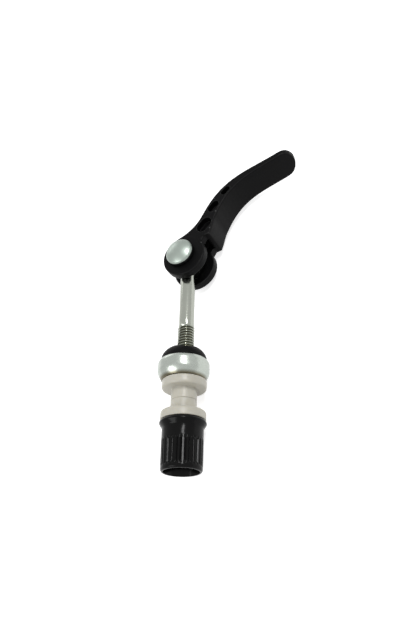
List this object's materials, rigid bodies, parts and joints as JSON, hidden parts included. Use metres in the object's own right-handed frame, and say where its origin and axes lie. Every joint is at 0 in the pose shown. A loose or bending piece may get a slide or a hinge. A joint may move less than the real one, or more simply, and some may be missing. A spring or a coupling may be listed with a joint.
{
  "type": "seatpost quick release bolt",
  "caption": "Seatpost quick release: a cam lever pivots on an eye bolt, with a saddle washer, a cup washer, flanged bushes and a ribbed nut that clamp the frame's seat lug.",
  "frame": {"origin": "on the bolt axis, at the seam where the necks of the two bushes meet", "axes": "+Y along the bolt from the nut to the lever, +Z along the pivot pin to its domed head, +X towards the open lever; the part lies on its side"},
  "size_m": [0.0534, 0.1162, 0.0189],
  "materials": {
    "lever_black": "satin black cast alloy",
    "pin_steel": "bright zinc plated steel",
    "bolt_steel": "zinc plated steel",
    "saddle_black": "moulded black plastic",
    "cup_steel": "bright zinc plated pressed steel",
    "nylon_white": "natural white nylon",
    "sleeve_black": "glossy black moulded plastic",
    "nut_steel": "zinc plated steel"
  },
  "bodies": {
    "bolt": {"eye_bolt": "bolt_steel"},
    "lever": {"lever": "lever_black", "pivot_pin": "pin_steel"},
    "lower_bush": {"lower_bush": "nylon_white"},
    "nut": {"nut_sleeve": "sleeve_black", "hex_nut": "nut_steel"},
    "upper_bush": {"upper_bush": "nylon_white"},
    "cup_washer": {"cup_washer": "cup_steel"},
    "saddle_washer": {"saddle_washer": "saddle_black"}
  },
  "joints": [
    {"name": "lever_swing", "type": "hinge", "parent": "bolt", "child": "lever", "pos_m": [0, 0.05535, 0], "axis": [0, 0, 1], "range_deg": [-50, 105]},
    {"name": "nut_travel", "type": "slide", "parent": "bolt", "child": "lower_bush", "axis": [0, 1, 0], "range_m": [-0.005, 0.008]},
    {"name": "nut_turn", "type": "hinge", "parent": "lower_bush", "child": "nut", "pos_m": [0, -0.0152, 0], "axis": [0, 1, 0], "range_deg": [-1801, 2881]},
    {"name": "upper_bush_slide", "type": "slide", "parent": "lower_bush", "child": "upper_bush", "axis": [0, 1, 0], "range_m": [0, 0.014]},
    {"name": "cup_slide", "type": "slide", "parent": "upper_bush", "child": "cup_washer", "axis": [0, 1, 0], "range_m": [0, 0.003]},
    {"name": "saddle_turn", "type": "hinge", "parent": "cup_washer", "child": "saddle_washer", "pos_m": [-0.00045, 0.0137, 0], "axis": [0, 1, 0], "continuous": true}
  ],
  "couplings": [
    {"joint": "nut_turn", "follows": "nut_travel", "rad_per_m": 6283.2}
  ]
}
